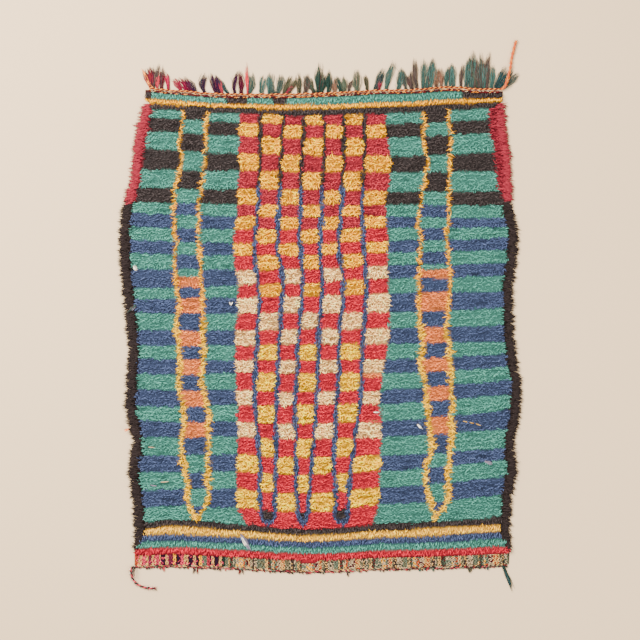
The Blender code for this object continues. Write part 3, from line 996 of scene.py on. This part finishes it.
GROUND_CELLS = 120, 150
GROUND_HEIGHT = 6.5 * MM
GROUND_LUMPS = 0.8 * MM
KILIM_GROUND = 2.4 * MM
GROUND_RIM = 2.0 * MM
# Painted shade on the ground: how dark the wool is made between the knots, and on the underside
GROUND_SHADE, UNDER_SHADE = 0.36, 0.5


def make_ground(material):
    """The woven ground, as one closed slab in the pattern's colours, darkened as painted shade."""
    across, along = GROUND_CELLS
    u, v = np.meshgrid(np.linspace(0, 1, across + 1), np.linspace(0, 1, along + 1))
    x = SIDE_LEFT.min() + u * (SIDE_RIGHT.max() - SIDE_LEFT.min())
    for _ in range(4):
        y = foot_edge(x) + (top_edge(x) - foot_edge(x)) * v
        x = body_left(y) + (body_right(y) - body_left(y)) * u
    colour, _ = pattern(x, y)
    rim = (u == 0) | (u == 1) | (v == 0) | (v == 1)
    kilim = row_at(x, y) > BAND_COUNT + KILIM_FROM
    top = GROUND_HEIGHT + GROUND_LUMPS * ripple(x, y, 95 * MM, 5)
    top = np.where(kilim, KILIM_GROUND, top)
    top = np.where(rim, GROUND_RIM, top)
    size = (along + 1) * (across + 1)
    verts = np.concatenate((
        np.stack((x, y, top), axis=2).reshape(-1, 3),
        np.stack((x, y, np.zeros_like(x)), axis=2).reshape(-1, 3),
    ))
    shades = WOOL_LIGHT[colour].reshape(-1, 3)
    # Painted shade: the pattern's colours darkened on the top and on the underside
    tints = np.concatenate((GROUND_SHADE * shades, UNDER_SHADE * shades))
    index = np.arange(size).reshape(along + 1, across + 1)
    a, b, c, d = index[:-1, :-1], index[:-1, 1:], index[1:, 1:], index[1:, :-1]
    upper = np.stack((a, b, c, d), axis=2).reshape(-1, 4)
    lower = upper[:, ::-1] + size
    flat = np.stack((u, v), axis=2).reshape(-1, 2)
    uv_upper = flat[upper] * (0.98, 0.46) + (0.01, 0.01)
    uv_lower = flat[lower - size] * (0.98, 0.46) + (0.01, 0.5)
    border = np.concatenate((index[0, :-1], index[:-1, -1], index[-1, :0:-1], index[:0:-1, 0]))
    after = np.roll(border, -1)
    walls = np.stack((after, border, border + size, after + size), axis=1)
    place = np.arange(border.size)[:, None] / border.size
    ends = np.array((1, 0, 0, 1)) / border.size
    heights = np.broadcast_to((0.97, 0.97, 0.99, 0.99), walls.shape)
    uv_walls = np.stack((0.01 + 0.98 * (place + ends), heights), axis=2)
    quads = np.concatenate((upper, lower, walls))
    uvs = np.concatenate((uv_upper, uv_lower, uv_walls))
    mesh = raw_mesh("ground_cloth", verts, quads, np.arange(quads.shape[0]) * 4)
    add_looks(mesh, uvs, tints)
    return add_piece(mesh, material, "pile", "rug_body")


# The shag along the sides

SHAG_STRANDS = 2300
# How far its tips may pass the cloth's widest place
SHAG_PAST = 12 * MM


def make_shag(material, side, name, node):
    """Side locks that hang outwards over the cloth's edge: side is -1 on the left."""
    rng = np.random.default_rng(20 + side)
    count = SHAG_STRANDS
    y = rng.uniform(SIDE_FOOT, SIDE_TOP - 6 * MM, count)
    edge, outline = (body_left, SIDE_LEFT) if side < 0 else (body_right, SIDE_RIGHT)
    inset = rng.uniform(-2, 14, count) * MM
    root = edge(y) - side * inset
    reach = smooth(SIDE_Y, outline, y) + side * (3 + 4 * ripple(y, y * 0, 26 * MM, 30 + side)) * MM
    share = 0.35 + 0.65 * rng.random(count) ** 0.6
    tip = root + (reach - root) * share + side * rng.normal(0, 3, count) * MM
    tip = np.clip(tip, SIDE_LEFT.min() - SHAG_PAST, SIDE_RIGHT.max() + SHAG_PAST)
    drop = rng.normal(-2, 7, count) * MM
    out = np.clip((tip - edge(y)) * side / SIDE_REACH, 0, 1)
    lines = np.empty((count, 4, 3))
    for number, step in enumerate((0, 0.3, 0.7, 1)):
        lines[:, number, 0] = root + (tip - root) * step
        lines[:, number, 1] = y + drop * step ** 1.5
    layer = rng.random(count)
    lines[:, 0, 2] = 4 * MM
    lines[:, 1, 2] = (8.5 + 4 * layer) * MM
    lines[:, 2, 2] = (8.0 + 3.5 * layer) * MM - 3.5 * out * MM
    lines[:, 3, 2] = (7.8 + 4 * layer) * MM - 6.5 * out * MM
    lines[:, 3, 2] = np.clip(lines[:, 3, 2], 1.6 * MM, None)
    radii = (rng.uniform(1.3, 2.1, count) * MM)[:, None] * np.array((0.8, 1.1, 0.85))
    start = RED_EDGE_FROM + rng.normal(0, 5, count) * MM
    shade = np.where(y > start, wool("side_red"), wool("brown"))
    # Painted shade on the lower strands and at the roots, and a painted highlight towards the tips
    tone = rng.normal(1, 0.10, count) * (0.75 + 0.35 * layer)
    painted_shading_along = np.array((0.5, 0.95, 1.05, 1.1))
    tints = WOOL_LIGHT[shade][:, None] * (tone[:, None] * painted_shading_along)[..., None]
    mesh = strand_mesh(name, lines, radii, tints, turns=rng.uniform(0, 6, count))
    return add_piece(mesh, material, "side_locks", node)


# The fringe, the twined cord and the edging

# How wide a lock is along its length, as a share of its full width
LOCK_SHAPE = (
    # share of the length, share of the width
    (0.0, 0.52),
    (0.16, 0.52),
    (0.38, 0.72),
    (0.6, 0.96),
    (0.82, 0.9),
    (1.0, 0.6),
)
# Wools of which a lock holds a few plies
ODD_WOOLS = ("brown_grey", "grey_teal", "red_brown", "deep_teal")
# What a fringe lock gains over the width in its table, and what of its bow stays
FRINGE_SPREAD = 6.5
FRINGE_BOW = 0.45


def lock_plies(locks, seed, plies_per_mm=0.75, fibres=9, low=1.6 * MM):
    """Points, radii and colours of the plies of many locks.

    A lock is a root, a tip, a width, a bow and a wool. Its plies end unevenly, and a
    few finer fibres stray around them.
    """
    rng = np.random.default_rng(seed)
    lines, radii, tints = [], [], []
    for root, tip, width, bow, name in locks:
        root, tip = np.array(root), np.array(tip)
        along = tip - root
        size = np.linalg.norm(along)
        along = along / size
        beside = np.array((along[1], -along[0]))
        plies = max(4, round(width / MM * plies_per_mm))
        for number in range(plies + fibres):
            fine = number >= plies
            lane = rng.uniform(-1.1, 1.1) if fine else 2 * (number + 0.5) / plies - 1
            lane += rng.normal(0, 0.2)
            length = size * (rng.uniform(0.7, 1.1) if fine else rng.uniform(0.74, 1.05))
            length *= 1 - 0.12 * min(abs(lane), 1) ** 2
            sway = rng.normal(0, 0.12) * width
            curl = rng.normal(0, 0.14 if fine else 0.05) * width
            points = []
            for step, open_ in LOCK_SHAPE:
                off = lane * width / 2 * open_ + bow * 4 * step * (1 - step)
                off += sway * step + curl * math.sin(3 * math.pi * step)
                point = root + along * length * step + beside * off
                height = low + (2.6 * MM if step < 0.9 else 0.8 * MM) * rng.uniform(0.2, 1)
                points.append((*point, 3.2 * MM if step == 0 else height))
            thick = (0.45 if fine else rng.uniform(0.75, 1.2)) * MM
            lines.append(points)
            radii.append([thick * part for part in (0.9, 1.0, 1.15, 1.1, 0.8)])
            shade = WOOL_LIGHT[wool(name)] * rng.uniform(0.5, 1.45)
            if rng.random() < 0.2:
                shade = 0.5 * shade + 0.5 * WOOL_LIGHT[wool(rng.choice(ODD_WOOLS))]
            # Each ply darkens towards its root and lightens towards its tip: painted shade at the
            # cord and a painted highlight at the tip
            tints.append(shade * np.array((0.75, 0.85, 0.95, 1.05, 1.1, 1.15))[:, None])
    return np.array(lines), np.array(radii), np.array(tints)


def make_fringe(material):
    """The locks of the warp ends, whose roots reach the twined cord."""
    locks = []
    for x0, y0, x1, y1, width, bow, name in FRINGE:
        root = x0 * MM, min(y0 * MM, float(cord_y(x0 * MM)) + 2 * MM)
        tip = x1 * MM, y1 * MM
        locks.append((root, tip, (width + FRINGE_SPREAD) * MM, bow * FRINGE_BOW * MM, name))
    mesh = strand_mesh("fringe_locks", *lock_plies(locks, 41))
    return add_piece(mesh, material, "fringe", "top_fringe")


def twist(name, points, plies, radius, offset, pitch, wools, steps_per_turn=10, seed=1):
    """Plies wound round a middle line, as strands: a radius and a wool for each ply."""
    rng = np.random.default_rng(seed)
    points = np.asarray(points, float)
    lengths = np.linalg.norm(np.diff(points, axis=0), axis=1)
    travelled = np.concatenate(([0], np.cumsum(lengths)))
    count = max(int(travelled[-1] / pitch * steps_per_turn), 8)
    at = np.linspace(0, travelled[-1], count)
    line = np.stack([np.interp(at, travelled, points[:, axis]) for axis in range(3)], axis=1)
    ahead = np.gradient(line, axis=0)
    beside = np.cross(ahead, (0, 0, 1))
    beside /= np.linalg.norm(beside, axis=1, keepdims=True)
    above = np.cross(beside, ahead)
    above /= np.linalg.norm(above, axis=1, keepdims=True)
    lines, tints = [], []
    for ply in range(plies):
        turn = 2 * math.pi * (at / pitch + ply / plies)
        lines.append(line + offset * (np.cos(turn)[:, None] * beside + np.sin(turn)[:, None] * above))
        tints.append(WOOL_LIGHT[wool(wools[ply])] * rng.uniform(0.6, 1.15, count)[:, None])
    radii = np.full((plies, count - 1), radius)
    return strand_mesh(name, np.array(lines), radii, np.array(tints), sides=6)


def stitches(x, y, z, turn, length, thick, shade, tone):
    """Short spindle-shaped stitches that lie on the cloth: points, radii and colours."""
    reach = np.stack((np.cos(turn), np.sin(turn)), axis=1) * (length / 2)[:, None]
    lines = np.empty((x.size, 4, 3))
    for number, step in enumerate((-1, -0.45, 0.45, 1)):
        lines[:, number, 0] = x + reach[:, 0] * step
        lines[:, number, 1] = y + reach[:, 1] * step
        lines[:, number, 2] = z - (1.1 * MM if abs(step) == 1 else 0)
    radii = thick[:, None] * np.array((0.5, 1.0, 0.95))
    # The ends are darker: painted shade where each stitch dips into the weave
    tints = WOOL_LIGHT[shade][:, None] * (tone[:, None] * np.array((0.8, 1, 1, 0.8)))[..., None]
    return lines, radii, tints


def make_kilim(material):
    """The flat-woven end: columns of slanting stitches in blocks of colour."""
    rng = np.random.default_rng(51)
    pitch, rows = 4.6 * MM, 9
    x = np.arange(KILIM_LEFT + 2 * MM, KILIM_RIGHT - 2 * MM, pitch)
    ends = KILIM_LEFT + np.cumsum([width * MM for width, _ in KILIM_BLOCKS])
    parts = []
    for number, place in enumerate(x):
        block = int(np.searchsorted(ends, place))
        if block < len(KILIM_BLOCKS):
            main, among, share = KILIM_BLOCKS[block][1], "kilim_pink", 0.16
        else:
            mix = int(place / (9.5 * MM) + 0.7 * math.sin(place * 90)) % len(KILIM_MIXES)
            main, among, share = KILIM_MIXES[mix]
        low, high = foot_edge(place), row_y(BAND_COUNT + KILIM_FROM - 0.03, place)
        for row in range(rows):
            y = low + (high - low) * (row + 0.5) / rows
            slant = 38 if (number + (row // 2)) % 2 else -38
            name = among if rng.random() < share else main
            parts.append((place + rng.normal(0, 0.4 * MM), y, math.radians(slant), wool(name)))
    x, y, turn, shade = (np.array(part) for part in zip(*parts))
    count = x.size
    made = stitches(
        x, y, rng.uniform(2.4, 3.2, count) * MM, turn + rng.normal(0, 0.12, count),
        rng.uniform(6.5, 8.5, count) * MM, rng.uniform(1.3, 1.7, count) * MM,
        shade.astype(int), rng.normal(1, 0.16, count).clip(0.6, 1.4),
    )
    return add_piece(strand_mesh("flat_weave", *made), material, "edging")


def make_end_twining(material):
    """Two rows of slanting stitches between the cord and the first knots."""
    rng = np.random.default_rng(61)
    parts = []
    wools = ("sand", "red_brown", "plum", "gold", "red_brown", "brown")
    shares = (0.10, 0.34, 0.14, 0.20, 0.12, 0.10)
    for row, drop in enumerate((0.6, 4.0)):
        x = np.arange(CORD_X[0] + 3 * MM, CORD_X[-1] - 2 * MM, 5.2 * MM)
        for number, place in enumerate(x + rng.normal(0, 0.5 * MM, x.size)):
            name = wools[int(rng.choice(len(wools), p=shares))]
            y = top_edge(place) - drop * MM + rng.normal(0, 0.4 * MM)
            parts.append((place, y, math.radians(24 if row % 2 else -24), wool(name)))
    x, y, turn, shade = (np.array(part) for part in zip(*parts))
    count = x.size
    made = stitches(
        x, y, rng.uniform(8.6, 10.2, count) * MM, turn, rng.uniform(7, 10, count) * MM,
        rng.uniform(1.1, 1.5, count) * MM, shade.astype(int), rng.uniform(0.7, 1.2, count),
    )
    return add_piece(strand_mesh("end_twining", *made), material, "pile")


def make_edging(material):
    """The twined edging at the foot and its tufts."""
    rng = np.random.default_rng(71)
    x = np.arange(KILIM_LEFT + 4 * MM, KILIM_RIGHT - 6 * MM, 6.5 * MM)
    parts = []
    for place in x:
        lean = -24 if place < 250 * MM else 24
        for drop, z, wools in FOOT_TWINING:
            name = wools[int(rng.integers(len(wools)))]
            y = foot_edge(place) - (drop + rng.normal(0, 0.7)) * MM
            turn = math.radians(lean + rng.normal(0, 9))
            length = rng.uniform(8, 13) * MM
            parts.append((place, y, turn, length, rng.uniform(1.1, 1.7) * MM, z * MM, wool(name)))
    x, y, turn, length, thick, z, shade = (np.array(part) for part in zip(*parts))
    first = stitches(x, y, z, turn, length, thick, shade.astype(int), rng.uniform(0.8, 1.2, x.size))
    weave = strand_mesh("foot_twining", *first)
    locks = []
    for x, lean, length, width, name in TUFTS:
        x, turn = x * MM, math.radians(180 + lean)
        y = foot_edge(x) - 5 * MM
        tip = (x + length * MM * math.sin(turn), y + length * MM * math.cos(turn))
        locks.append(((x, y), tip, width * MM, 0, name))
    for x in rng.uniform(KILIM_LEFT + 3 * MM, KILIM_RIGHT - 3 * MM, FOOT_FUZZ):
        turn = math.radians(180) + rng.normal(0, 0.75)
        length = rng.uniform(4, 11) * MM
        y = foot_edge(x) - 4 * MM
        tip = (x + length * math.sin(turn), y + length * math.cos(turn))
        name = FOOT_FUZZ_WOOLS[int(rng.integers(len(FOOT_FUZZ_WOOLS)))]
        locks.append(((x, y), tip, rng.uniform(2, 5) * MM, 0, name))
    tufts = strand_mesh("foot_tufts", *lock_plies(locks, 72, 0.6, 2, 1.2 * MM))
    return [
        add_piece(weave, material, "edging", "bottom_edging"),
        add_piece(tufts, material, "edging"),
    ]


def cord_mesh(name, route, radius, pitch, wools):
    """A free two-ply cord as one closed tube of a two-lobed section that turns."""
    points = np.array(route, float) * MM
    lengths = np.linalg.norm(np.diff(points, axis=0), axis=1)
    travelled = np.concatenate(([0], np.cumsum(lengths)))
    at = np.linspace(0, travelled[-1], 90)
    line = np.stack([smooth(travelled, points[:, axis], at) for axis in range(3)], axis=1)
    sides = 10
    ahead = np.gradient(line, axis=0)
    across = np.cross(ahead, (0, 0, 1))
    across /= np.linalg.norm(across, axis=1, keepdims=True)
    up = np.cross(across, ahead)
    up /= np.linalg.norm(up, axis=1, keepdims=True)
    angle = 2 * math.pi * np.arange(sides) / sides
    lobe = np.cos(angle[None] - 2 * math.pi * at[:, None] / pitch)
    reach = radius * (0.66 + 0.34 * lobe ** 2)
    rings = line[:, None] + reach[..., None] * (
        np.cos(angle)[None, :, None] * across[:, None] + np.sin(angle)[None, :, None] * up[:, None]
    )
    rings[..., 2] = np.maximum(rings[..., 2], 0.1 * MM)
    first, second = (WOOL_LIGHT[wool(name)] for name in wools)
    # Painted shade in the groove between the two plies, where the section is narrow
    tints = np.where(lobe[..., None] > 0, first, second) * (0.6 + 0.45 * lobe[..., None] ** 2)
    count = at.size
    index = np.arange(count * sides).reshape(count, sides)
    after = np.roll(index, -1, axis=1)
    quads = np.stack((index[:-1], index[1:], after[1:], after[:-1]), axis=2).reshape(-1, 4)
    u = np.arange(sides) / sides
    v = np.arange(count) / count
    grid = []
    for row in range(count - 1):
        for side in range(sides):
            u0, u1 = u[side], u[side] + 1 / sides
            grid += [(u0, v[row]), (u0, v[row + 1]), (u1, v[row + 1]), (u1, v[row])]
    circle = np.stack((0.5 + 0.45 * np.cos(angle), 0.5 + 0.45 * np.sin(angle)), axis=1)
    vertex = np.concatenate((quads.ravel(), index[0], index[-1, ::-1]))
    uv = np.concatenate((
        np.array(grid) * (0.96, 0.9) + (0.02, 0.01),
        circle * 0.05 + (0.05, 0.93),
        circle * 0.05 + (0.15, 0.93),
    ))
    starts = np.concatenate((np.arange(quads.shape[0]) * 4, quads.size + np.array((0, sides))))
    mesh = raw_mesh(name, rings.reshape(-1, 3), vertex, starts)
    add_looks(mesh, uv, tints)
    return mesh, line, travelled[-1]


def fuzz(name, line, radius, reach, wools, count, seed):
    """Short stray fibres all along a cord."""
    rng = np.random.default_rng(seed)
    at = rng.integers(2, len(line) - 1, count)
    ahead = line[np.minimum(at + 1, len(line) - 1)] - line[at - 1]
    ahead /= np.linalg.norm(ahead, axis=1, keepdims=True)
    turn = rng.uniform(0, 2 * math.pi, count)
    out = np.stack((np.cos(turn), np.sin(turn), rng.uniform(-0.1, 0.3, count)), axis=1)
    length = rng.uniform(*reach, count)[:, None]
    start = line[at] + out * radius * 0.5
    lines = np.stack((
        start,
        start + (0.75 * ahead + 0.45 * out) * length / 2,
        start + (0.6 * ahead + 0.7 * out) * length,
    ), axis=1)
    lines[..., 2] = np.maximum(lines[..., 2], 0.6 * MM)
    radii = rng.uniform(0.5, 1.0, count)[:, None] * np.array((1.0, 0.8)) * MM
    shade = np.array([wool(wools[int(number)]) for number in rng.integers(len(wools), size=count)])
    tints = WOOL_LIGHT[shade][:, None] * rng.uniform(0.7, 1.2, (count, 3))[..., None]
    return strand_mesh(name, lines, radii, tints)


def add_tail(name, route, radius, pitch, wools, slot, node, material, reach, stray):
    """A free cord end with its stray fibres: reach is their length, stray their wools."""
    mesh, line, length = cord_mesh(name, route, radius, pitch, wools)
    piece = add_piece(mesh, material, slot, node)
    fibres = add_piece(fuzz(name + "_fuzz", line, radius, reach, stray, 170, 81), material, slot)
    return piece


# Wisps and scraps that lie on the pile
STRAYS = (
    # root x, root y, tip x, tip y, width, wool
    (-556, -744, -563, -776, 10, "brown_grey"),
    (-550, 144, -559, 161, 10, "white"),
    (-550, 43, -581, 18, 9, "teal"),
    (-552, 36, -570, 24, 5, "mauve_grey"),
    (-267, 41, -273, 52, 3, "white"),
    (-267, 41, -261, 52, 3, "white"),
    (-240, -642, -204, -702, 11, "mauve_grey"),
    (-237, -648, -216, -690, 7, "white"),
    (492, -426, 522, -436, 8, "mauve_grey"),
    (291, -315, 309, -332, 4, "white"),
    (160, -279, 180, -280, 4, "white"),
    (429, -306, 443, -309, 1, "pale_yellow"),
    (449, -310, 462, -313, 1, "pale_yellow"),
    (468, -314, 484, -320, 1, "pale_yellow"),
    (-573, -330, -588, -336, 8, "orange"),
    (-516, -384, -492, -385, 2, "sand"),
    (-480, -489, -450, -487, 2, "sand"),
    (-510, -498, -486, -501, 2, "mauve_grey"),
)


def make_strays(material):
    """Wisps and scraps, which lie on top of the pile."""
    locks = []
    for x0, y0, x1, y1, width, name in STRAYS:
        locks.append(((x0 * MM, y0 * MM), (x1 * MM, y1 * MM), width * MM, 0, name))
    mesh = strand_mesh("stray_wisps", *lock_plies(locks, 91, 0.7, 3, 13.5 * MM))
    return add_piece(mesh, material, "pile")


pile_wool = wool_material("pile_wool", 0.95)
twine_wool = wool_material("twine_wool", 0.9)
add_tail(
    "loose_cord_end", TAIL_TOP, 4.2 * MM, 30 * MM, ("amber", "rust"), "twined_cord",
    "tail_top", twine_wool, (5 * MM, 12 * MM), ("gold", "sand", "amber"),
)
add_tail(
    "loose_edging_end", TAIL_BOTTOM, 3.4 * MM, 18 * MM, ("brown", "crimson"), "edging",
    "tail_bottom", twine_wool, (5 * MM, 13 * MM), ("brown", "crimson", "white", "moss"),
)
ground = make_ground(pile_wool)
pile = make_pile(pile_wool)
shag = [
    make_shag(pile_wool, -1, "shag_left", "left_edge"),
    make_shag(pile_wool, 1, "shag_right", "right_edge"),
]
cord_x = np.linspace(CORD_X[0], CORD_X[-1], 300)
cord_wave = 0.9 * MM * ripple(cord_x, 0 * cord_x, 45 * MM, 33)
cord_line = np.stack((cord_x, cord_y(cord_x) + cord_wave, 0 * cord_x + 4.6 * MM), axis=1)
cord_plies = twist(
    "twined_cord_plies", cord_line, 2, 1.5 * MM, 1.4 * MM, 15 * MM, ("gold", "red_brown")
)
cord_piece = add_piece(cord_plies, twine_wool, "twined_cord", "top_cord")
fringe = make_fringe(twine_wool)
kilim = make_kilim(twine_wool)
twining = make_end_twining(twine_wool)
edging = make_edging(twine_wool)
strays = make_strays(twine_wool)


# Floor and light

def add_light(name, place, size, power, target=(0, 0, 0)):
    """A soft square lamp that faces its target."""
    data = bpy.data.lights.new(name, "AREA")
    data.energy = power
    data.shape = "SQUARE"
    data.size = size
    lamp = bpy.data.objects.new(name, data)
    bpy.context.scene.collection.objects.link(lamp)
    lamp.location = place
    aim = np.subtract(target, place)
    lamp.rotation_euler = (
        math.atan2(math.hypot(aim[0], aim[1]), -aim[2]),
        0,
        math.atan2(aim[1], aim[0]) - math.pi / 2,
    )


FLOOR_COLOUR = (200, 171, 132)
FLOOR_SIZE, FLOOR_DROP = 12, 0.5 * MM
SKY_COLOUR, SKY_STRENGTH = (1, 0.98, 0.95, 1), 1.45
bpy.ops.mesh.primitive_plane_add(size=FLOOR_SIZE, location=(0, 0, -FLOOR_DROP))
floor = bpy.context.object
floor.name = "floor"
floor_paint = bpy.data.materials.new("floor_paint")
floor_paint.use_nodes = True
floor_shader = floor_paint.node_tree.nodes["Principled BSDF"]
floor_shader.inputs["Base Color"].default_value = (*linear(FLOOR_COLOUR), 1)
floor_shader.inputs["Roughness"].default_value = 0.8
floor.data.materials.append(floor_paint)
add_light("key", (-2.2, 1.8, 3.2), 2.6, 630)
add_light("fill", (2.4, -1.6, 3.4), 3.0, 205)
world = bpy.data.worlds.new("world")
world.use_nodes = True
world.node_tree.nodes["Background"].inputs["Color"].default_value = SKY_COLOUR
world.node_tree.nodes["Background"].inputs["Strength"].default_value = SKY_STRENGTH
bpy.context.scene.world = world
